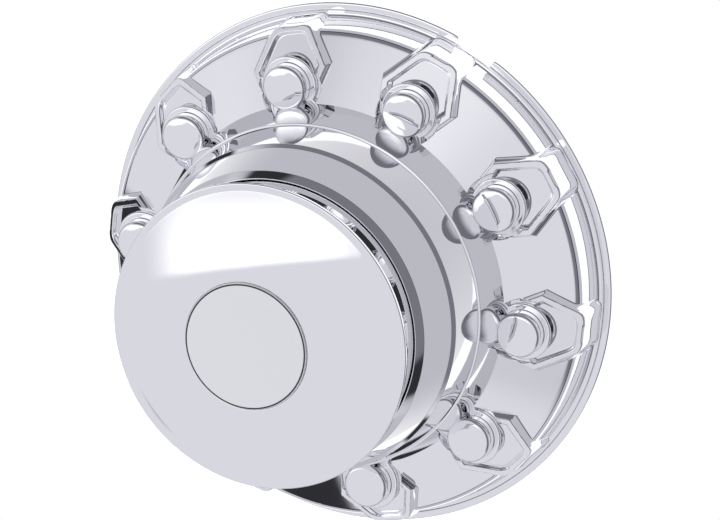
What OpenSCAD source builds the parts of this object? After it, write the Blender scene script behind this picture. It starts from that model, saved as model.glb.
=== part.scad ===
// Axle hub cover for a ten-stud heavy wheel: a chromed one-piece moulded cover with a
// flange, ten stud covers and a tall neck, a snap-in end cap and a round badge.
// +Z points outwards along the axle. The origin is on the axle, in the plane of the
// flange's back edge, which rests on the wheel.

/* [Rim flange] */
// Outside diameter of the flange
rim_d = 376; // [360:1:400]
// Thickness of the flange
flange_t = 2.8; // [2:0.1:3.6]
// Height of the flange's front face above its back edge
flange_z = 6; // [5:0.1:9]
// Width of the turned-down lip at the flange's outer edge
lip_w = 3; // [2:0.1:4]
// Width of the rounded bead along the outer edge
bead_w = 5; // [4:0.1:6]
// Depth of the groove inside the bead
bead_drop = 1.2; // [0.6:0.1:1.6]
// Width of the slot for a removal tool
notch_w = 29; // [15:1:40]
// Depth of the slot, from the flange's outer edge
notch_depth = 7; // [4:0.5:7.5]
// Direction of the slot, from the first stud
notch_angle = 284; // [0:1:359]

/* [Stud ring] */
// Radius of the standing wall at its foot
wall_r = 178.5; // [176:0.5:179]
// How far the standing wall leans in, from foot to shoulder
wall_draft = 3.5; // [2:0.5:5]
// Height of the shoulder above the flange's front face
shoulder_h = 25; // [20:1:30]
// Rounding of the shoulder
shoulder_round = 9; // [5:0.5:10]
// Radius where the sloped face meets the steps of the neck
face_inner_r = 132; // [130:0.5:136]
// Rise of the sloped face, from the shoulder to the steps
face_rise = 26; // [22:0.5:30]
// Wall thickness of the moulding
wall = 2.8; // [2:0.1:3.4]

/* [Stud covers] */
// Number of wheel studs
stud_count = 10; // [8:2:10]
// Diameter of the stud circle
stud_circle_d = 285.75; // [283:0.05:288]
// Diameter of the round post over a stud
post_d = 31.6; // [30:0.2:33]
// Height of the post above its collar
post_h = 11; // [8:0.5:14]
// Rounding of the post's top edge
post_round = 4.5; // [3:0.5:6]
// Diameter of the bead-shaped collar round the post
collar_d = 40; // [38:0.5:41]
// Height of the collar's top above the back edge
collar_z = 54; // [52:0.5:56]
// Thickness of the collar
collar_t = 3.4; // [2.5:0.1:4]
// Bore of the post, which goes over the stud's end
post_bore_d = 26.4; // [24:0.1:27]
// Clearance between the collar and the pocket round it
pocket_gap = 2.6; // [1.5:0.1:3]

/* [Hexagonal pads] */
// Width of a pad across its side corners
pad_w = 59; // [54:0.5:62]
// Length of a pad along the slope
pad_l = 61; // [56:0.5:64]
// Length of a pad's outer edge, between its corners
pad_edge = 31; // [26:0.5:34]
// Radius of the pad's middle from the axle
pad_centre_r = 148.5; // [147:0.5:150]
// Height of a pad's ridge above the sloped face
ridge_h = 3.6; // [2:0.1:4.5]
// Width of the ridge at its top
ridge_w = 3.2; // [2:0.1:4]
// Width of the slope on each side of the ridge
ridge_slope = 2.4; // [1:0.1:3]
// Depth of the dished middle below the ridge
dish_depth = 3; // [1:0.1:3.5]
// Rounding of a pad's corners
pad_round = 7; // [4:0.5:10]

/* [Neck] */
// Radius of the neck at its foot
neck_foot_r = 119.6; // [118:0.1:120.5]
// Radius of the neck at its middle ring
neck_ring_r = 116.4; // [115:0.1:117.5]
// Height of the middle ring above the back edge
neck_ring_z = 110; // [100:1:120]
// Inward step above the middle ring
neck_ring_step = 2.4; // [1.5:0.1:3]
// Width of one of the small steps at the neck's foot
foot_step = 3; // [2:0.1:3.4]
// Radius of the neck below its mouth
neck_top_r = 106.4; // [105.5:0.1:108]
// Height of the mouth above the back edge
mouth_z = 146; // [140:1:150]
// Height of the rounded lip round the mouth
mouth_lip_h = 6; // [5:0.5:7]
// Depth of the cap's seat below the mouth
seat_drop = 5; // [4:0.5:6]
// Width of the seat
seat_w = 1.6; // [1.2:0.1:2]
// Height of the ring that the cap snaps under
seat_ring_h = 6; // [4:0.5:8]

/* [End cap] */
// Outside diameter of the cap's rim
cap_d = 213.6; // [212:0.1:216]
// Diameter of the waist below the cap's rim
cap_waist_d = 202; // [200:0.1:203]
// Height of the cap's rim above the mouth
cap_rim_rise = 27.5; // [22:0.5:32]
// Thickness of the cap's rim
cap_rim_t = 3.2; // [2.5:0.1:4]
// Width of the flat land round the dome
cap_land_w = 5.2; // [4:0.1:6]
// Height of the dome above its land, if it had no badge seat
dome_h = 23.7; // [18:0.1:28]
// Wall thickness of the cap
cap_wall = 2.5; // [2:0.1:3]
// Clearance between the cap and the mouth
cap_gap = 0.3; // [0.2:0.05:0.4]
// Length of the snap fingers below the seat
finger_l = 13; // [11:0.5:16]
// Reach of the hook on a snap finger
hook_reach = 0.9; // [0.5:0.1:1.2]
// Number of snap fingers
finger_count = 8; // [6:1:12]
// Width of the slot between two snap fingers
finger_slot_w = 8; // [4:0.5:12]

/* [Badge] */
// Diameter of the badge
badge_d = 88; // [80:0.5:90]
// Thickness of the badge at its edge
badge_t = 1.8; // [1.2:0.1:2.4]
// Depth of the seat that the badge lies in
badge_seat_depth = 0.6; // [0.4:0.1:1]
// Crown of the badge's face
badge_crown = 0.8; // [0.4:0.1:1.2]
// Clearance round the badge
badge_gap = 0.4; // [0.2:0.05:0.6]

/* [Hidden] */
$fn = 120;
past = 1;

// How many steps a rounding of radius r gets.
function steps(r) = r < 1 ? 1 : (r < 4 ? 2 : 4);

// Rounds corner b of the path a-b-c with an arc of radius r.
function corner(a, b, c, r) =
    let (
        u = (a - b) / norm(a - b),
        v = (c - b) / norm(c - b),
        half = acos(u * v) / 2,
        m = (u + v) / norm(u + v),
        o = b + m * r / sin(half),
        s = b + u * r / tan(half) - o,
        turn = (cross(u, s) > 0 ? 1 : -1) * (180 - 2 * half),
        n = steps(r)
    )
    [for (i = [0:n]) let (t = turn * i / n)
        o + [s[0] * cos(t) - s[1] * sin(t), s[0] * sin(t) + s[1] * cos(t)]];

// The plain point of a path's item [x, y, radius].
function flat(q) = [q[0], q[1]];

// An open path with its inner corners rounded. Each item is [x, y, radius].
function rounded_path(p) = [
    for (i = [0:len(p) - 1])
        if (i == 0 || i == len(p) - 1 || p[i][2] == 0) flat(p[i])
        else each corner(flat(p[i - 1]), flat(p[i]), flat(p[i + 1]), p[i][2])
];

// The same for a closed outline of plain points and one radius.
function rounded_loop(p, r) = [
    for (i = [0:len(p) - 1])
        each corner(p[(i + len(p) - 1) % len(p)], p[i], p[(i + 1) % len(p)], r)
];

// Where two lines meet, each given by a point and a direction.
function meet(p, u, q, v) =
    let (w = q - p, k = (w[0] * v[1] - w[1] * v[0]) / (u[0] * v[1] - u[1] * v[0]))
    p + u * k;

// The corner that lies one wall t below corner b of the outer form a-b-c.
function under_corner(a, b, c, t) =
    let (
        u = (b - a) / norm(b - a),
        v = (c - b) / norm(c - b)
    )
    meet(b + [-u[1], u[0]] * t, u, b + [-v[1], v[0]] * t, v);

// The radius at height z on the line through p and q.
function radius_at(p, q, z) = p[0] + (q[0] - p[0]) * (z - p[1]) / (q[1] - p[1]);

// A corner of a path with its rounding.
function bend(p, r) = [p[0], p[1], r];

rim_r = rim_d / 2;
stud_r = stud_circle_d / 2;
stud_step = 360 / stud_count;
post_r = post_d / 2;
collar_r = collar_d / 2;
collar_overhang = 2;
post_foot_r = collar_r - collar_overhang;
post_crown = 0.8;
post_wall = post_r - post_bore_d / 2;
pocket_r = collar_r + pocket_gap;
pocket_z = collar_z - collar_t;
flange_under = flange_z - flange_t;
edge_round = 2;
small_round = 0.6;
foot_round = 2.6;
pad_root = wall * 0.6;
collar_curve = 0.45;

// The main corners of the cover's outer form, as [radius, height].
wall_foot = [wall_r, flange_z];
shoulder = [wall_r - wall_draft, flange_z + shoulder_h];
face_end = [face_inner_r, shoulder[1] + face_rise];
face_way = (face_end - shoulder) / norm(face_end - shoulder);
face_slope = atan2(face_way[1], -face_way[0]);
face_drop = wall / cos(face_slope);
step_h = foot_step * 0.7;
step_one = face_end + [0, step_h];
step_two = step_one + [-foot_step, step_h / 2];
step_three = step_two + [0, step_h];
neck_foot = [neck_foot_r, step_three[1] + step_h];
neck_ring = [neck_ring_r, neck_ring_z];
neck_cone = [neck_ring_r - neck_ring_step, neck_ring_z + neck_ring_step];
neck_top = [neck_top_r, mouth_z - mouth_lip_h];

// The height of the sloped face at radius r.
function face_z(r) = shoulder[1] + (shoulder[0] - r) * tan(face_slope);

// The under side of a post, level with the face's under side at the post's outer edge.
skirt_z = face_z(stud_r + post_foot_r) - face_drop;

// The cap's seat in the mouth of the neck.
mouth_r = cap_waist_d / 2 + cap_gap;
mouth_edge = 1.4;
neck_top_round = 3;
seat_r = mouth_r - seat_w;
seat_z = mouth_z - seat_drop;
seat_under = seat_z - seat_ring_h;

// The corners of the under side, one wall below the outer form.
shoulder_in = under_corner(wall_foot, shoulder, face_end, wall);
face_end_in = under_corner(shoulder, face_end, neck_foot, wall);
neck_foot_in = under_corner(face_end, neck_foot, neck_ring, wall);
neck_ring_in = under_corner(neck_foot, neck_ring, neck_cone, wall);
neck_cone_in = under_corner(neck_ring, neck_cone, neck_top, wall);
neck_end_in = [radius_at(neck_cone_in, neck_cone_in + neck_top - neck_cone, seat_under), seat_under];
wall_foot_in = [radius_at(wall_foot - [wall, 0], shoulder - [wall, 0], flange_under), flange_under];

outer_form = rounded_path([
    [rim_r, 0, 0],
    [rim_r, flange_z, edge_round],
    [rim_r - bead_w, flange_z, small_round],
    [rim_r - bead_w - bead_drop, flange_z - bead_drop, small_round],
    [rim_r - bead_w - 2 * bead_drop, flange_z, small_round / 2],
    bend(wall_foot, foot_round),
    bend(shoulder, shoulder_round),
    bend(face_end, small_round),
    bend(step_one, small_round),
    bend(step_two, small_round),
    bend(step_three, small_round),
    bend(neck_foot, foot_round),
    bend(neck_ring, small_round),
    bend(neck_cone, small_round),
    bend(neck_top, neck_top_round),
    [mouth_r + mouth_edge, mouth_z, mouth_edge],
    [mouth_r, mouth_z - 2 * mouth_edge, small_round],
    [mouth_r, seat_z, 0]
]);

under_form = rounded_path([
    [seat_r, seat_z, 0],
    [seat_r, seat_under, 0],
    bend(neck_end_in, 0),
    bend(neck_cone_in, small_round),
    bend(neck_ring_in, small_round),
    bend(neck_foot_in, small_round),
    bend(face_end_in, small_round),
    bend(shoulder_in, shoulder_round - wall),
    bend(wall_foot_in, small_round),
    [rim_r - lip_w, flange_under, small_round],
    [rim_r - lip_w, 0, 0]
]);

// The end cap.
waist_r = cap_waist_d / 2;
plug_r = seat_r - cap_gap;
finger_z = seat_z - finger_l;
hook_z = seat_under - cap_gap;
hook_r = seat_r + hook_reach;
cap_r = cap_d / 2;
rim_top = mouth_z + cap_rim_rise;
rim_under = rim_top - cap_rim_t;
rim_flare = (cap_r - waist_r) * 0.75;
rim_round = 1.2;
land_fillet = 1.6;
haunch = 4;
dome_r = cap_r - cap_land_w;
dome_steps = 9;
sphere_r = (dome_r * dome_r + dome_h * dome_h) / (2 * dome_h);
badge_r = badge_d / 2;
badge_seat_r = badge_r + badge_gap;
badge_edge = 0.5;
crown_steps = 4;

// The height of the dome at radius r, for a sphere that lies down by below the outer one.
function dome_z(r, down = 0) =
    rim_top + dome_h - sphere_r + sqrt(pow(sphere_r - down, 2) - r * r);

// The dome's points from radius a to radius b.
function dome_arc(a, b, down = 0) = [
    for (i = [0:dome_steps]) let (r = a + (b - a) * i / dome_steps) [r, dome_z(r, down)]
];

badge_z = dome_z(badge_seat_r) - badge_seat_depth;
inner_r = waist_r - cap_wall;

cap_form = concat(
    rounded_path([
        [plug_r - cap_wall, finger_z, 0],
        [plug_r - cap_wall / 3, finger_z, 0],
        [hook_r, (finger_z + hook_z) / 2, 0],
        [hook_r, hook_z, 0],
        [plug_r, hook_z, 0],
        [plug_r, seat_z, 0],
        [waist_r, seat_z, 0],
        [waist_r, rim_under - rim_flare, foot_round],
        [cap_r, rim_under, rim_round],
        [cap_r, rim_top, rim_round],
        [dome_r, rim_top, 0]
    ]),
    dome_arc(dome_r - land_fillet, badge_seat_r),
    [[badge_seat_r, badge_z], [0, badge_z]]
);

cap_under = concat(
    [[0, badge_z - cap_wall]],
    dome_arc(badge_seat_r, inner_r - haunch, cap_wall),
    [
        [inner_r, dome_z(inner_r, cap_wall) - haunch],
        [inner_r, seat_z + cap_wall],
        [plug_r - cap_wall, seat_z]
    ]
);

// A copy of its children at each stud, with the first on +X.
module at_studs() {
    for (i = [0:stud_count - 1]) rotate(i * stud_step) children();
}

// Lays its children on the sloped face, with +X down the slope and +Z off the face.
module on_face() {
    translate([pad_centre_r, 0, face_z(pad_centre_r)]) rotate([0, face_slope, 0]) children();
}

// The solid between the axle and the cover's outer form.
module under_skin() {
    rotate_extrude() polygon(concat(outer_form, [[mouth_r, 0]]));
}

// A pad's outline: a long hexagon with rounded corners, size times as large.
module pad_outline(size = 1) {
    end = [pad_l / 2, pad_edge / 2] * size;
    side = pad_w / 2 * size;
    polygon(rounded_loop([
        [end[0], end[1]], [0, side], [-end[0], end[1]],
        [-end[0], -end[1]], [0, -side], [end[0], -end[1]]
    ], pad_round * size));
}

// How large the pad's outline is once its sides lie in by inset.
function pad_size(inset) = 1 - 2 * inset / pad_l;

// The raised pad, which tapers from the face to the top of its ridge.
module pad_body() {
    base = pad_size(-ridge_slope * pad_root / ridge_h);
    translate([0, 0, -pad_root])
        linear_extrude(pad_root + ridge_h, scale = pad_size(ridge_slope) / base) pad_outline(base);
}

// What the dished middle of a pad takes away.
module pad_dish() {
    floor = pad_size(2 * ridge_slope + ridge_w);
    high = pad_size(ridge_slope + ridge_w - ridge_slope * past / dish_depth);
    translate([0, 0, ridge_h - dish_depth])
        linear_extrude(dish_depth + past, scale = high / floor) pad_outline(floor);
}

// The floor and the wall of the pocket that a stud cover stands in.
module pocket_cup() {
    translate([stud_r, 0, pocket_z - wall])
        cylinder(h = neck_foot[1] - pocket_z + wall, r = pocket_r + wall);
}

module pocket() {
    translate([stud_r, 0, pocket_z]) cylinder(h = neck_ring_z, r = pocket_r);
}

// A stud cover: a round post with a bead-shaped collar and a rounded top.
module post() {
    translate([stud_r, 0, 0]) rotate_extrude() polygon(rounded_path([
        [0, skirt_z, 0],
        [post_foot_r, skirt_z, 0],
        [post_foot_r, pocket_z, 0],
        [collar_r, pocket_z, collar_t * collar_curve],
        [collar_r, collar_z, collar_t * collar_curve],
        [post_r, collar_z, small_round],
        [post_r, collar_z + post_h, post_round],
        [0, collar_z + post_h + post_crown, 0]
    ]));
}

// The bore of a stud cover, open towards the wheel.
module post_bore() {
    translate([stud_r, 0, skirt_z - past])
        cylinder(h = collar_z + post_h - post_wall - skirt_z + past, d = post_bore_d);
}

// The slot in the flange's edge, where a removal tool goes in.
module tool_slot() {
    rotate(notch_angle) translate([rim_r - notch_depth, -notch_w / 2, -past])
        cube([notch_depth + past, notch_w, flange_z + 2 * past]);
}

module cover() {
    color([0.83, 0.84, 0.87]) difference() {
        union() {
            difference() {
                union() {
                    rotate_extrude() polygon(concat(outer_form, under_form));
                    at_studs() on_face() pad_body();
                    intersection() {
                        at_studs() pocket_cup();
                        under_skin();
                    }
                }
                at_studs() on_face() pad_dish();
                at_studs() pocket();
            }
            at_studs() post();
        }
        at_studs() post_bore();
        tool_slot();
    }
}

// The gap between two snap fingers.
module finger_slot() {
    translate([plug_r - 2 * cap_wall, -finger_slot_w / 2, finger_z - past])
        cube([3 * cap_wall, finger_slot_w, finger_l - cap_wall + past]);
}

module end_cap() {
    color([0.86, 0.87, 0.9]) difference() {
        rotate_extrude() polygon(concat(cap_form, cap_under));
        for (i = [0:finger_count - 1]) rotate(i * 360 / finger_count) finger_slot();
    }
}

module badge() {
    color([0.93, 0.94, 0.94]) translate([0, 0, badge_z]) rotate_extrude() polygon(concat(
        [[0, 0], [badge_r, 0], [badge_r, badge_t - badge_edge]],
        [for (i = [0:crown_steps]) let (r = (badge_r - badge_edge) * (1 - i / crown_steps))
            [r, badge_t + badge_crown * (1 - pow(r / badge_r, 2))]]
    ));
}

cover();
end_cap();
badge();
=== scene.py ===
import bisect
import math
import bpy
import bmesh
from mathutils import Euler, Matrix, Vector


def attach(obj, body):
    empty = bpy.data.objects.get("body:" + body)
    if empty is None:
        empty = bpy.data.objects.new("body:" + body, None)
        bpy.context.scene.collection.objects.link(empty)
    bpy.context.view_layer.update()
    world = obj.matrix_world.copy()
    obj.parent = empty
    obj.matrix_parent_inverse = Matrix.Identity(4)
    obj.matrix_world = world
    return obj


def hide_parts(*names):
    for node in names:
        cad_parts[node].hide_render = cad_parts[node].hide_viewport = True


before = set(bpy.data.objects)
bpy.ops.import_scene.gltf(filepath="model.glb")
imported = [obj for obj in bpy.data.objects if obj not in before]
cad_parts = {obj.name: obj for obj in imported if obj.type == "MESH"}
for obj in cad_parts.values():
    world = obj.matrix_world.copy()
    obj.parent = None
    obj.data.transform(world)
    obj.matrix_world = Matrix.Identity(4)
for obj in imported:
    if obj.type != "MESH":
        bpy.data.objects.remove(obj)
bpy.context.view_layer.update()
mm = 0.001  # lengths are in mm up to the finished mesh
weldGap = 0.004  # points that lie nearer than this are one


def roundedPath(points, step=0.16):
    # points are (radius, height, rounding), and step is the turn between points of a rounding
    path = []
    for i, (x, y, radius) in enumerate(points):
        here = Vector((x, y))
        if radius == 0 or i in (0, len(points) - 1):
            path.append(here)
            continue
        back = (Vector(points[i - 1][:2]) - here).normalized()
        ahead = (Vector(points[i + 1][:2]) - here).normalized()
        half = back.angle(ahead) / 2
        centre = here + (back + ahead).normalized() * (radius / math.sin(half))
        start = here + back * (radius / math.tan(half)) - centre
        turn = math.pi - 2 * half
        if start.x * back.y - start.y * back.x > 0:
            turn = -turn
        count = max(2, int(abs(turn) / step))
        for k in range(count + 1):
            a = turn * k / count
            path.append(centre + Vector((start.x * math.cos(a) - start.y * math.sin(a),
                                         start.x * math.sin(a) + start.y * math.cos(a))))
    return path


def heightOver(path):
    # the height of a profile as a function of radius
    points = sorted((p.x, p.y) for p in path)
    radii = [p[0] for p in points]

    def height(radius):
        i = min(max(bisect.bisect(radii, radius), 1), len(points) - 1)
        (x0, y0), (x1, y1) = points[i - 1], points[i]
        # two points at one radius share the first height
        return y0 if x1 - x0 < 1e-9 else y0 + (y1 - y0) * (radius - x0) / (x1 - x0)
    return height


def smoothStep(t):
    t = min(1.0, max(0.0, t))
    return t * t * (3 - 2 * t)


def blendMax(a, b, width):
    # the larger of two values, with a smooth passage as wide as width
    near = max(width - abs(a - b), 0.0) / width
    return max(a, b) + near ** 3 * width / 6


def blendMin(a, b, width):
    return -blendMax(-a, -b, width)


def addPiece(name, mesh, material):
    mesh.materials.append(material)
    piece = bpy.data.objects.new(name, mesh)
    bpy.context.scene.collection.objects.link(piece)
    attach(piece, "root")
    print(name, sum(len(p.vertices) - 2 for p in mesh.polygons), "triangles")
    return piece


def finishMesh(name, bm, material, vertexNormal=None):
    bmesh.ops.remove_doubles(bm, verts=bm.verts, dist=weldGap)
    bmesh.ops.recalc_face_normals(bm, faces=bm.faces)
    # large faces lead the shared normals, so long flanks stay plain beside their roundings
    normals = [sum((f.normal * f.calc_area() for f in v.link_faces), Vector()).normalized()
               for v in bm.verts]
    bmesh.ops.scale(bm, vec=(mm, mm, mm), verts=bm.verts)
    mesh = bpy.data.meshes.new(name)
    bm.to_mesh(mesh)
    bm.free()
    if vertexNormal:
        normals = [vertexNormal(v) for v in mesh.vertices]
    mesh.polygons.foreach_set("use_smooth", [True] * len(mesh.polygons))
    mesh.normals_split_custom_set_from_vertices(normals)
    return addPiece(name, mesh, material)


def spinPath(path, steps):
    bm = bmesh.new()
    verts = [bm.verts.new((p.x, 0, p.y)) for p in path]
    edges = [bm.edges.new(pair) for pair in zip(verts, verts[1:])]
    bmesh.ops.spin(bm, geom=verts + edges, cent=(0, 0, 0), axis=(0, 0, 1), dvec=(0, 0, 0),
                   angle=math.tau, steps=steps, use_merge=True, use_normal_flip=False, use_duplicate=False)
    return bm


# Outer wall and sloped face; the two runs only carry the profile past its ends
face = {
    "flangeTop": 6.0, "wallFoot": 178.5, "wallFootRound": 2.6, "wallDraft": 3.5, "shoulderHeight": 25.0,
    "shoulderRound": 9.0, "inner": 130.0, "rise": 27.0, "flangeRun": 8.0, "faceRun": 20.0,
}
shoulder = Vector((face["wallFoot"] - face["wallDraft"], face["flangeTop"] + face["shoulderHeight"]))
faceEnd = Vector((face["inner"], shoulder.y + face["rise"]))
faceTan = face["rise"] / (shoulder.x - faceEnd.x)
faceCos = math.cos(math.atan(faceTan))

groundHeight = heightOver(roundedPath([
    (face["wallFoot"] + face["flangeRun"], face["flangeTop"], 0),
    (face["wallFoot"], face["flangeTop"], face["wallFootRound"]),
    (shoulder.x, shoulder.y, face["shoulderRound"]),
    (faceEnd.x - face["faceRun"], faceEnd.y + face["faceRun"] * faceTan, 0)], step=0.02))


studs = {
    "count": 10, "circle": 142.875, "pocketRadius": 22.6, "pocketFloor": 50.6, "pocketWall": 1.0,
    "floorBlend": 1.2, "footRadius": 18.0, "footRound": 1.4,
}
sectorTurn = math.tau / studs["count"]

pads = {"centre": 152.6, "length": 66.0, "width": 60.0, "edge": 31.0, "ridgeHeight": 4.2, "ridgeTop": 3.0,
        "ridgeSlope": 3.0, "dishDepth": 3.6, "cornerBlend": 7.0, "sideBlend": 1.5}


def padInside(x, y):
    # how far a point lies inside the pad's long hexagon
    along = abs(x - pads["centre"]) / faceCos
    end, side, half = pads["length"] / 2, pads["width"] / 2, pads["edge"] / 2
    normal = Vector((side - half, end)).normalized()
    slant = normal.x * along + normal.y * (math.hypot(y, pads["sideBlend"]) - side)
    return -blendMax(along - end, slant, pads["cornerBlend"])


def groundAt(x, y):
    # the face with its pad, over the first stud's sector
    radius = math.hypot(x, y)
    z = groundHeight(radius)
    inside = padInside(x, y)
    if inside <= 0:
        return z
    plane = shoulder.y + (shoulder.x - x) * faceTan
    fall = smoothStep((inside - pads["ridgeSlope"] - pads["ridgeTop"]) / pads["ridgeSlope"])
    top = plane + (pads["ridgeHeight"] - pads["dishDepth"] * fall) / faceCos
    return z + (max(top, z) - z) * smoothStep(inside / pads["ridgeSlope"])


def topAt(x, y):
    # the same with the pocket sunk in and a fillet up to the collar
    z = groundAt(x, y)
    r = math.hypot(x - studs["circle"], y)
    inPocket = 1 - smoothStep((r - studs["pocketRadius"]) / studs["pocketWall"] + 0.5)
    z += (blendMin(z, studs["pocketFloor"], studs["floorBlend"]) - z) * inPocket
    foot = studs["footRound"]
    reach = foot - (r - studs["footRadius"])
    if reach > 0:
        z += foot - math.sqrt(max(foot * foot - reach * reach, 0))
    return z


# The sheet is made of rings round each stud, close together where the form bends
sheet = {
    "outerRays": 44, "sideRays": 30, "innerRays": 40, "innerLap": 0.6, "outerLap": 2.4,
    "pocketRings": (18.0, 18.06, 18.2, 18.5, 18.9, 19.4, 20.4, 21.4, 21.9, 22.15, 22.35, 22.5, 22.65, 22.8,
                    23.0, 23.3),
    "wallRings": (170.5, 171.6, 172.6, 173.5, 174.2, 174.8, 175.3, 175.8, 176.8, 178.0, 178.5, 178.9, 179.5,
                  180.2),
    "dishRings": 4, "ridgeRings": 15, "faceRings": 6, "dishMargin": 0.6, "padMargin": 0.4,
    "leastRidge": 0.9, "leastGap": 0.04, "farthest": 60.0, "halvings": 24, "slopeStep": 0.02,
}
sheetInner, sheetOuter = faceEnd.x - sheet["innerLap"], face["wallFoot"] + sheet["outerLap"]


def sectorEdge():
    half = sectorTurn / 2
    points = []
    for k in range(sheet["outerRays"]):
        a = half * (2 * k / sheet["outerRays"] - 1)
        points.append(Vector((sheetOuter * math.cos(a), sheetOuter * math.sin(a))))
    for k in range(sheet["sideRays"]):
        r = sheetOuter + (sheetInner - sheetOuter) * k / sheet["sideRays"]
        points.append(Vector((r * math.cos(half), r * math.sin(half))))
    for k in range(sheet["innerRays"]):
        a = half * (1 - 2 * k / sheet["innerRays"])
        points.append(Vector((sheetInner * math.cos(a), sheetInner * math.sin(a))))
    for k in range(sheet["sideRays"]):
        r = sheetInner + (sheetOuter - sheetInner) * k / sheet["sideRays"]
        points.append(Vector((r * math.cos(half), -r * math.sin(half))))
    return points


def padReach(ray, inset):
    # where a ray from the post's middle leaves the hexagon that lies in by inset
    low, high = 0.0, sheet["farthest"]
    centre = Vector((studs["circle"], 0))
    for _ in range(sheet["halvings"]):
        middle = (low + high) / 2
        p = centre + ray * middle
        if padInside(p.x, p.y) > inset:
            low = middle
        else:
            high = middle
    return low


def circleReach(ray, radius):
    # where the ray goes out through a circle round the axle
    b = studs["circle"] * ray.x
    return -b + math.sqrt(b * b - studs["circle"] ** 2 + radius ** 2)


def stepsTo(start, end, count):
    return [start + (end - start) * k / count for k in range(1, count + 1)]


def rayDistances(ray, end):
    # how far out each ring crosses the ray: pocket, dish, ridge, face and wall
    pocket = sheet["pocketRings"][-1]
    inRidge = 2 * pads["ridgeSlope"] + pads["ridgeTop"] + sheet["dishMargin"]
    dish = max(padReach(ray, inRidge), pocket + sheet["dishMargin"])
    base = max(padReach(ray, -sheet["padMargin"]), dish + sheet["leastRidge"])
    near = max(circleReach(ray, sheet["wallRings"][0]), base)
    distances = list(sheet["pocketRings"])
    distances += stepsTo(pocket, dish, sheet["dishRings"])
    distances += stepsTo(dish, base, sheet["ridgeRings"])
    distances += stepsTo(base, min(near, end), sheet["faceRings"])[:-1]
    for radius in sheet["wallRings"]:
        distances.append(max(circleReach(ray, radius), distances[-1] + sheet["leastGap"]))
    return [min(d, end) for d in distances] + [end]


def buildSector(bm):
    centre = Vector((studs["circle"], 0))
    edge = sectorEdge()
    rays = [(p - centre).normalized() for p in edge]
    rows = [rayDistances(ray, (p - centre).length) for ray, p in zip(rays, edge)]
    loop = [bm.verts.new((0, 0, 0)) for _ in edge]
    edges = [bm.edges.new((loop[i], loop[(i + 1) % len(loop)])) for i in range(len(loop))]
    for n in range(len(rows[0])):
        if n:
            made = bmesh.ops.extrude_edge_only(bm, edges=edges)["geom"]
            edges = [e for e in made if isinstance(e, bmesh.types.BMEdge)]
            ends = {v for e in edges for v in e.verts}
            loop = [next(e.other_vert(v) for e in v.link_edges if e.other_vert(v) in ends) for v in loop]
        for vert, ray, row in zip(loop, rays, rows):
            p = centre + ray * row[n]
            vert.co = (p.x, p.y, topAt(p.x, p.y))


def repeatRound(bm):
    geometry = bm.verts[:] + bm.edges[:] + bm.faces[:]
    for k in range(1, studs["count"]):
        made = bmesh.ops.duplicate(bm, geom=geometry)["geom"]
        verts = [v for v in made if isinstance(v, bmesh.types.BMVert)]
        bmesh.ops.rotate(bm, verts=verts, cent=(0, 0, 0), matrix=Matrix.Rotation(sectorTurn * k, 3, "Z"))


def studAngle(angle):
    # the direction of the stud that is nearest to an angle
    return round(angle / sectorTurn) * sectorTurn


def sheetNormal(vert):
    # the exact normal of the height field, turned back from the vertex's own sector
    x, y = vert.co.x / mm, vert.co.y / mm
    turn = studAngle(math.atan2(y, x))
    p = Matrix.Rotation(-turn, 2) @ Vector((x, y))
    d = sheet["slopeStep"]
    slopeX = (topAt(p.x + d, p.y) - topAt(p.x - d, p.y)) / (2 * d)
    slopeY = (topAt(p.x, p.y + d) - topAt(p.x, p.y - d)) / (2 * d)
    normal = Vector((-slopeX, -slopeY, 1)).normalized()
    across = Matrix.Rotation(turn, 2) @ Vector((normal.x, normal.y))
    return (across.x, across.y, normal.z)


class Value:
    # a shader socket that takes part in sums, with numbers on either side

    def __init__(self, tree, socket):
        self.tree, self.socket = tree, socket

    def node(self, kind, inputs, output=0, **settings):
        made = self.tree.nodes.new(kind)
        for key, setting in settings.items():
            setattr(made, key, setting)
        for key, item in inputs.items():
            if isinstance(item, Value):
                self.tree.links.new(item.socket, made.inputs[key])
            else:
                made.inputs[key].default_value = item
        return Value(self.tree, made.outputs[output])

    def maths(self, operation, a, b):
        return self.node("ShaderNodeMath", {0: a, 1: b}, operation=operation)

    def __add__(self, other):
        return self.maths("ADD", self, other)

    def __radd__(self, other):
        return self.maths("ADD", other, self)

    def __sub__(self, other):
        return self.maths("SUBTRACT", self, other)

    def __rsub__(self, other):
        return self.maths("SUBTRACT", other, self)

    def __mul__(self, other):
        return self.maths("MULTIPLY", self, other)

    def __rmul__(self, other):
        return self.maths("MULTIPLY", other, self)

    def dot(self, vector):
        return self.node("ShaderNodeVectorMath", {0: self, 1: vector}, "Value", operation="DOT_PRODUCT")

    def rise(self, low, high):
        # 0 at low, 1 at high and smooth between, whichever of the two is the larger
        ends = {"From Min": min(low, high), "From Max": max(low, high),
                "To Min": float(low > high), "To Max": float(low < high)}
        return self.node("ShaderNodeMapRange", {"Value": self, **ends}, interpolation_type="SMOOTHSTEP")

    def noise(self, scale, detail=2.0):
        return self.node("ShaderNodeTexNoise", {"Vector": self, "Scale": scale, "Detail": detail}, "Fac")

    def mix(self, first, second):
        # colours mixed by this value, whose sockets are told apart by number only
        return self.node("ShaderNodeMix", {0: self, 6: first, 7: second}, 2, data_type="RGBA")


def newMaterial(name, **levels):
    material = bpy.data.materials.new(name)
    material.use_nodes = True
    tree = material.node_tree
    shader = tree.nodes["Principled BSDF"]
    for key, level in levels.items():
        shader.inputs[key.replace("_", " ")].default_value = level
    place = Value(tree, tree.nodes.new("ShaderNodeTexCoord").outputs["Object"])
    return material, shader, place


def wire(value, shader, key):
    value.tree.links.new(value.socket, shader.inputs[key])


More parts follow.
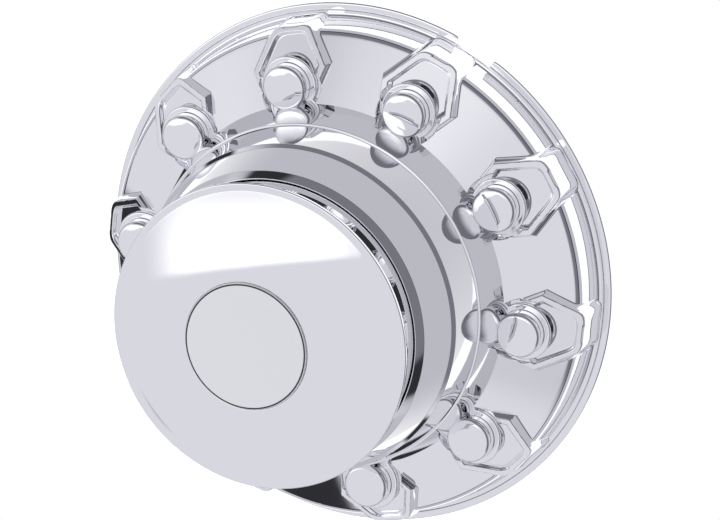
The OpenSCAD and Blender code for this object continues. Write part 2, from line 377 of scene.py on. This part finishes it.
def rayKinds(tree):
    # 1 for what the camera sees straight, in a mirror and through glass
    paths = tree.nodes.new("ShaderNodeLightPath")
    return [Value(tree, paths.outputs[key]) for key in (
        "Is Camera Ray", "Is Glossy Ray", "Is Transmission Ray")]


# Chrome with a little haze and the faint waves of moulded plastic; scales are per metre
finish = {
    "chrome": (0.86, 0.862, 0.885, 1), "shine": 0.018, "haze": 0.035, "hazeScale": 60.0, "hazeDetail": 6.0,
    "wave": 0.10, "waveScale": 20.0, "waveDetail": 1.0, "waveHeight": 0.0006,
}
chrome, shader, place = newMaterial("chrome", Metallic=1.0, Base_Color=finish["chrome"])
haze = place.noise(finish["hazeScale"], finish["hazeDetail"])
wire(finish["shine"] + haze * finish["haze"], shader, "Roughness")
wave = place.noise(finish["waveScale"], finish["waveDetail"])
wire(wave.node("ShaderNodeBump", {"Strength": finish["wave"], "Distance": finish["waveHeight"],
                                  "Height": wave}), shader, "Normal")

bm = bmesh.new()
buildSector(bm)
bmesh.ops.remove_doubles(bm, verts=bm.verts, dist=weldGap)
bmesh.ops.recalc_face_normals(bm, faces=bm.faces)
repeatRound(bm)
studRing = finishMesh("studRing", bm, chrome, sheetNormal)

# Neck, from under the face up to the cap's seat
neckSizes = {
    "stepTop": 82.5, "stepRadius": 123.0, "footRadius": 121.5, "stepRise": 0.8, "ringRadius": 116.4,
    "ringHeight": 110.0, "ringStep": 2.4, "topRadius": 106.4, "mouthHeight": 146.0, "lipHeight": 6.0,
    "mouthRadius": 101.3, "mouthFlare": 0.4, "mouthDrop": 1.0, "seatHeight": 141.0, "startDrop": 1.0,
    "sink": 0.4, "trials": 8, "steps": 720,
}
neckStep = Vector((neckSizes["stepRadius"], neckSizes["stepTop"]))
neckFoot = Vector((neckSizes["footRadius"], neckSizes["stepTop"] + neckSizes["stepRise"]))
neckRing = Vector((neckSizes["ringRadius"], neckSizes["ringHeight"]))
neckStart = studs["pocketFloor"] - neckSizes["startDrop"]
neckLean = (faceEnd.x - neckStep.x) / (neckStep.y - faceEnd.y)
neckProfile = roundedPath([
    (faceEnd.x + neckLean * (faceEnd.y - neckStart), neckStart, 0),
    (neckStep.x, neckStep.y, 0.7),
    (neckFoot.x, neckFoot.y, 0.5),
    (neckRing.x, neckRing.y, 0.8),
    (neckRing.x - neckSizes["ringStep"], neckRing.y + neckSizes["ringStep"], 0.8),
    (neckSizes["topRadius"], neckSizes["mouthHeight"] - neckSizes["lipHeight"], 3.0),
    (neckSizes["mouthRadius"] + neckSizes["mouthFlare"], neckSizes["mouthHeight"], 0.5),
    (neckSizes["mouthRadius"], neckSizes["mouthHeight"] - neckSizes["mouthDrop"], 0.4),
    (neckSizes["mouthRadius"], neckSizes["seatHeight"], 0)])
bm = spinPath(neckProfile, neckSizes["steps"])
for v in bm.verts:
    if v.co.z < studs["pocketFloor"]:
        # the lower edge follows the face and the floors of the pockets, a little under them
        angle = math.atan2(v.co.y, v.co.x)
        angle -= studAngle(angle)
        radius = faceEnd.x
        for _ in range(neckSizes["trials"]):
            z = topAt(radius * math.cos(angle), radius * math.sin(angle)) - neckSizes["sink"]
            radius = faceEnd.x + neckLean * (faceEnd.y - z)
        v.co.xy = v.co.xy.normalized() * radius
        v.co.z = z
neck = finishMesh("neck", bm, chrome)

# Posts: the outer skin of each crowned post, with its bead-shaped collar
postSizes = {"radius": 15.8, "top": 64.0, "crown": 2.4, "crownCurve": 0.0073, "crownReach": 10,
             "edgeRise": 0.2, "edgeRound": 3.6, "collarRadius": 20.0, "collarTop": 54.0,
             "collarRound": 1.53, "foot": 38.0, "steps": 72}


def crownHeight(radius):
    return postSizes["top"] + postSizes["crown"] - postSizes["crownCurve"] * radius * radius


postProfile = [Vector((radius, crownHeight(radius))) for radius in range(postSizes["crownReach"])]
postProfile += roundedPath([
    (postSizes["crownReach"], crownHeight(postSizes["crownReach"]), 0),
    (postSizes["radius"], postSizes["top"] + postSizes["edgeRise"], postSizes["edgeRound"]),
    (postSizes["radius"], postSizes["collarTop"], 0.8),
    (postSizes["collarRadius"], postSizes["collarTop"], postSizes["collarRound"]),
    (postSizes["collarRadius"], studs["pocketFloor"], postSizes["collarRound"]),
    (studs["footRadius"], studs["pocketFloor"], 0.3),
    (studs["footRadius"], postSizes["foot"], 0)], step=0.12)
bm = spinPath(postProfile, postSizes["steps"])
bmesh.ops.translate(bm, vec=(studs["circle"], 0, 0), verts=bm.verts)
repeatRound(bm)
posts = finishMesh("posts", bm, chrome)

# Rim of the flange. Its points near the notch's two edges close up to a slit; angles are in degrees
rimSizes = {"radius": 188.0, "lipWidth": 3.0, "edgeRound": 2.0, "beadWidth": 5.0, "groove": 1.2,
            "notchAngle": 284.0, "notchWidth": 29.0, "notchDepth": 7.0, "notchReach": 1.0,
            "notchSlit": 0.04, "steps": 360}
edge, top, groove = rimSizes["radius"], face["flangeTop"], rimSizes["groove"]
bead = edge - rimSizes["beadWidth"]
rimProfile = roundedPath([
    (edge - rimSizes["lipWidth"], 0, 0), (edge, 0, 0.3), (edge, top, rimSizes["edgeRound"]),
    (bead, top, 0.8), (bead - groove, top - groove, 0.5), (bead - 2 * groove, top, 0.6),
    (sheetOuter, groundHeight(sheetOuter), 0)])
bm = spinPath(rimProfile, rimSizes["steps"])
halfNotch = rimSizes["notchWidth"] / 2 / (edge - rimSizes["notchDepth"] / 2)
middle = math.radians(rimSizes["notchAngle"])
for v in bm.verts:
    radius, angle = math.hypot(v.co.x, v.co.y), math.atan2(v.co.y, v.co.x)
    off = (angle - middle + math.pi) % math.tau - math.pi
    for border in (-halfNotch, halfNotch):
        gap = off - border
        if abs(gap) < math.radians(rimSizes["notchReach"]):
            off = border + math.copysign(math.radians(rimSizes["notchSlit"]), gap)
    if abs(off) < halfNotch:
        radius = min(radius, edge - rimSizes["notchDepth"])
    v.co.x, v.co.y = radius * math.cos(middle + off), radius * math.sin(middle + off)
rim = finishMesh("rim", bm, chrome)

cap = {
    "radius": 106.8, "waist": 101.0, "underRadius": 98.5, "rimTop": 173.5, "rimThickness": 3.2,
    "flareShare": 0.75, "land": 5.2, "crown": 23.7, "seat": 141.0, "badgeSeat": 44.4, "seatDepth": 0.6,
    "domeStart": 1.0, "domeEnd": 0.8, "domeSteps": 60, "filletSteps": 2, "steps": 360,
}
domeRadius = cap["radius"] - cap["land"]
sphere = (domeRadius ** 2 + cap["crown"] ** 2) / (2 * cap["crown"])


def domeHeight(radius):
    return cap["rimTop"] + cap["crown"] - sphere + math.sqrt(sphere ** 2 - radius ** 2)


rimUnder = cap["rimTop"] - cap["rimThickness"]
flare = (cap["radius"] - cap["waist"]) * cap["flareShare"]
badgeFloor = domeHeight(cap["badgeSeat"]) - cap["seatDepth"]
arcOuter, arcInner = domeRadius - cap["domeStart"], cap["badgeSeat"] + cap["domeEnd"]
# the first steps of the dome are left to the fillet at its land
arc = [arcOuter + (arcInner - arcOuter) * k / cap["domeSteps"]
       for k in range(cap["filletSteps"], cap["domeSteps"] + 1)]
capProfile = roundedPath([
    (cap["underRadius"], cap["seat"], 0), (cap["waist"], cap["seat"], 0),
    (cap["waist"], rimUnder - flare, 2.6), (cap["radius"], rimUnder, 1.2),
    (cap["radius"], cap["rimTop"], 1.2), (domeRadius, cap["rimTop"], 0.9),
    (arc[0], domeHeight(arc[0]), 0)])
capProfile += [Vector((radius, domeHeight(radius))) for radius in arc[1:]]
capProfile += roundedPath([
    (arcInner, domeHeight(arcInner), 0), (cap["badgeSeat"], domeHeight(cap["badgeSeat"]), 0.5),
    (cap["badgeSeat"], badgeFloor, 0.2), (0, badgeFloor, 0)])
capTop = finishMesh("capTop", spinPath(capProfile, cap["steps"]), chrome)


# Hidden side: lengths that say where the outer side ends, and how far a face must point outwards
hidden = {
    "boreRadius": 13.5, "boreTop": 63.3, "wall": 2.8, "neckUnder": 55.0, "neckMargin": 1.5, "seat": 141.05,
    "lip": 185.05, "flangeUnder": 3.3, "pocketMargin": 0.1, "slack": 0.05, "upright": 0.1, "turned": 0.02,
    "lean": 0.3, "capRim": 6.0, "capAcross": 0.3, "capUp": 0.2, "sharp": 35.0, "weld": 0.001,
}


def coverIsOuter(place, normal):
    # whether a face of the cover's node lies on the side that the new pieces show
    radius, z = math.hypot(place.x, place.y), place.z
    angle = math.atan2(place.y, place.x)
    angle -= studAngle(angle)
    fromStud = math.hypot(radius * math.cos(angle) - studs["circle"], radius * math.sin(angle))
    if fromStud < hidden["boreRadius"]:
        return z > hidden["boreTop"]
    inPocket = fromStud < studs["pocketRadius"] + hidden["pocketMargin"]
    if inPocket and z > studs["pocketFloor"] - hidden["slack"]:
        return True
    if z > hidden["seat"] or radius > hidden["lip"]:
        return True
    inNotch = radius > rimSizes["radius"] - rimSizes["notchDepth"] - hidden["slack"]
    if inNotch and abs(normal.z) < hidden["upright"] and z > hidden["flangeUnder"]:
        return True
    atNeck = radius < faceEnd.x + hidden["neckMargin"]
    under = hidden["neckUnder"] if atNeck else groundHeight(radius) - hidden["wall"] / 2
    across = (place.x * normal.x + place.y * normal.y) / radius
    outwards = across * (1 - faceCos) + normal.z * faceCos
    return outwards > hidden["turned"] - across * hidden["lean"] and z > under


def capIsOuter(place, normal):
    radius, z = math.hypot(place.x, place.y), place.z
    across = (place.x * normal.x + place.y * normal.y) / max(radius, hidden["slack"])
    if z < cap["seat"] + hidden["slack"]:
        return False
    if z < cap["rimTop"] - hidden["capRim"]:
        return across > hidden["capAcross"]
    return across + normal.z > hidden["capUp"]


def innerSide(name, node, isOuter):
    # a copy of the node without the faces that the new pieces stand for
    bm = bmesh.new()
    bm.from_mesh(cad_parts[node].data)
    bmesh.ops.remove_doubles(bm, verts=bm.verts, dist=hidden["weld"] * mm)
    doomed = [f for f in bm.faces if isOuter(f.calc_center_median() / mm, f.normal)]
    bmesh.ops.delete(bm, geom=doomed, context="FACES")
    mesh = bpy.data.meshes.new(name)
    bm.to_mesh(mesh)
    bm.free()
    mesh.polygons.foreach_set("use_smooth", [True] * len(mesh.polygons))
    mesh.set_sharp_from_angle(angle=math.radians(hidden["sharp"]))
    return addPiece(name, mesh, chrome)


coverInside = innerSide("coverInside", "cover", coverIsOuter)
capInside = innerSide("capInside", "end_cap", capIsOuter)

# Badge: a bare pale disc with a thin dark ring; its lengths are in metres
badge = {"colour": (0.93, 0.945, 0.95, 1), "fleckShade": 0.97, "fleckScale": 900.0,
         "ring": (0.012, 0.012, 0.014, 1), "ringInner": 0.0424, "ringOuter": 0.0436, "soft": 0.0001}
badgeMaterial, shader, place = newMaterial("badge", Roughness=0.32, Coat_Weight=0.4)
flat = place.node("ShaderNodeVectorMath", {0: place, 1: (1, 1, 0)}, operation="MULTIPLY")
fromMiddle = flat.node("ShaderNodeVectorMath", {0: flat}, "Value", operation="LENGTH")
past = fromMiddle.rise(badge["ringOuter"] - badge["soft"], badge["ringOuter"])
ring = fromMiddle.rise(badge["ringInner"], badge["ringInner"] + badge["soft"]) * (1 - past)
darker = [c * badge["fleckShade"] for c in badge["colour"][:3]] + [1]
flecks = place.noise(badge["fleckScale"]).mix(badge["colour"], darker)
wire(ring.mix(flecks, badge["ring"]), shader, "Base Color")
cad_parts["badge"].data.materials.clear()
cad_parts["badge"].data.materials.append(badgeMaterial)
print("badge has its material")

for piece in (studRing, neck, posts, rim, coverInside):
    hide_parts("cover")
for piece in (capTop, capInside):
    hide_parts("end_cap")

# Studio: pale walls, a bright soft box, a dark side behind the camera and a thin dark horizon.
# The pairs say where each part begins and where it is whole, in height or along its own axis.
studio = {
    "walls": (0.79, 0.79, 0.835, 1), "box": (1.5, 1.5, 1.5, 1), "room": (0.20, 0.20, 0.23, 1),
    "horizon": (0.03, 0.03, 0.035, 1), "table": (0.56, 0.56, 0.61, 1), "white": (1, 1, 1, 1),
    "cameraSide": (-0.147, -0.989, 0.0), "roomTop": (0.72, 0.46), "roomSide": (-0.20, 0.18),
    "boxAcross": (-0.765, 0.572, 0.297), "acrossHigh": (0.10, 0.05), "acrossLow": (-0.50, -0.02),
    "boxAlong": (0.475, 0.810, -0.337), "alongHigh": (0.70, 0.34), "alongLow": (-0.80, -0.35),
    "boxFoot": (0.1, 0.3), "horizonFoot": (-0.02, 0.01), "horizonTop": (0.12, 0.09),
    "tableEdge": (-0.02, -0.10), "tableEnd": (-0.60, -0.75),
}
world = bpy.data.worlds.new("studio")
bpy.context.scene.world = world
world.use_nodes = True
tree = world.node_tree
tree.nodes.clear()
way = Value(tree, tree.nodes.new("ShaderNodeTexCoord").outputs["Generated"])
height = way.dot((0, 0, 1))
side = way.dot(studio["cameraSide"])
across, along = way.dot(studio["boxAcross"]), way.dot(studio["boxAlong"])
room = height.rise(*studio["roomTop"]) * side.rise(*studio["roomSide"])
box = across.rise(*studio["acrossHigh"]) * across.rise(*studio["acrossLow"])
box = box * along.rise(*studio["alongHigh"]) * along.rise(*studio["alongLow"])
box = box * height.rise(*studio["boxFoot"])
line = height.rise(*studio["horizonFoot"]) * height.rise(*studio["horizonTop"])
straight, mirrored, through = rayKinds(tree)
colour = room.mix(studio["walls"], studio["room"])
colour = box.mix(colour, studio["box"])
colour = line.mix(colour, studio["horizon"])
colour = height.rise(*studio["tableEdge"]).mix(colour, studio["table"])
low = height.rise(*studio["tableEnd"])
colour = (straight + (mirrored + through) * low).mix(colour, studio["white"])
light = way.node("ShaderNodeBackground", {"Color": colour, "Strength": 1.0})
tree.links.new(light.socket, tree.nodes.new("ShaderNodeOutputWorld").inputs["Surface"])
print("studio is lit")

# Floor: a white disc, with its radius in metres, that glows only for what the camera sees
disc = {"colour": (0.93, 0.93, 0.93, 1), "roughness": 0.9, "glow": 0.62, "radius": 0.215, "segments": 96}
bm = bmesh.new()
bmesh.ops.create_circle(bm, cap_ends=True, segments=disc["segments"], radius=disc["radius"])
floorMesh = bpy.data.meshes.new("floor")
bm.to_mesh(floorMesh)
bm.free()
floor = bpy.data.objects.new("floor", floorMesh)
bpy.context.scene.collection.objects.link(floor)
white, shader, place = newMaterial("white", Base_Color=disc["colour"], Roughness=disc["roughness"],
                                   Emission_Color=studio["white"])
straight, mirrored, through = rayKinds(white.node_tree)
wire((straight + mirrored + through) * disc["glow"], shader, "Emission Strength")
floorMesh.materials.append(white)

# Camera at the photo's angle: place in metres, turn in degrees, lens and sensor in mm
view = {"place": (-0.25042, -1.68891, 3.0304), "turn": (-18.2837, 23.4248, -138.2302),
        "lens": 250, "sensor": 36, "clipEnd": 50}
lens = bpy.data.cameras.new("camera")
lens.lens = view["lens"]
lens.sensor_width = view["sensor"]
lens.clip_end = view["clipEnd"]
camera = bpy.data.objects.new("camera", lens)
bpy.context.scene.collection.objects.link(camera)
turn = Euler([math.radians(a) for a in view["turn"]])
camera.matrix_world = Matrix.LocRotScale(Vector(view["place"]), turn, None)
bpy.context.scene.camera = camera
bpy.context.scene.view_settings.view_transform = "Standard"
print("camera stands")
